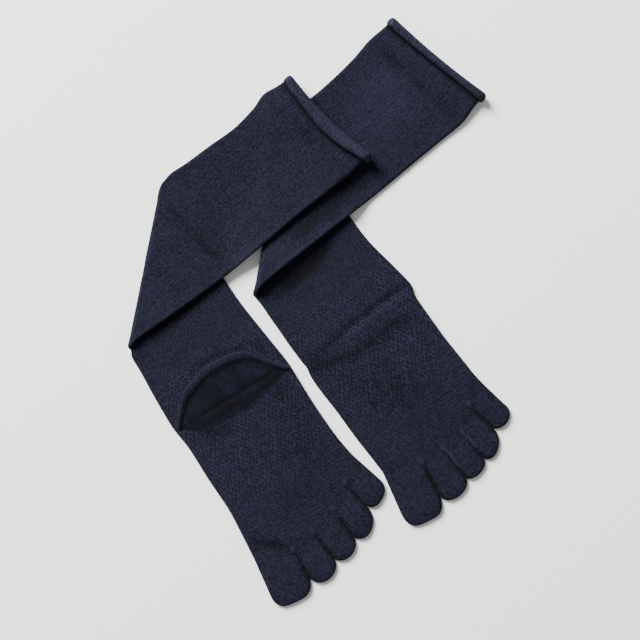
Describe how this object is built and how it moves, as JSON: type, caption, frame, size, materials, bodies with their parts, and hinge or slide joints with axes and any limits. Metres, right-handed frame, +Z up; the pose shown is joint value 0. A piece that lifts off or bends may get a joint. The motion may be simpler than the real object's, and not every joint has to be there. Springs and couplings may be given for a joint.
{
  "type": "pair of toe socks",
  "caption": "Knee-length toe socks in fine knit, laid flat: each is folded once across the calf, with separate toes and a rolled cuff.",
  "frame": {"origin": "on the surface that the socks lie on, under the middle of their box", "axes": "+Z up, through the thickness of the cloth; +Y along the longest side of the pair as it lies, from the toes towards the cuffs; +X to the right, with both feet pointing down and to the right"},
  "size_m": [0.3112, 0.4808, 0.0178],
  "materials": {
    "navy_knit": "matt fine cotton knit"
  },
  "bodies": {
    "root": {"right_sock": "navy_knit", "left_sock": "navy_knit"}
  },
  "joints": []
}
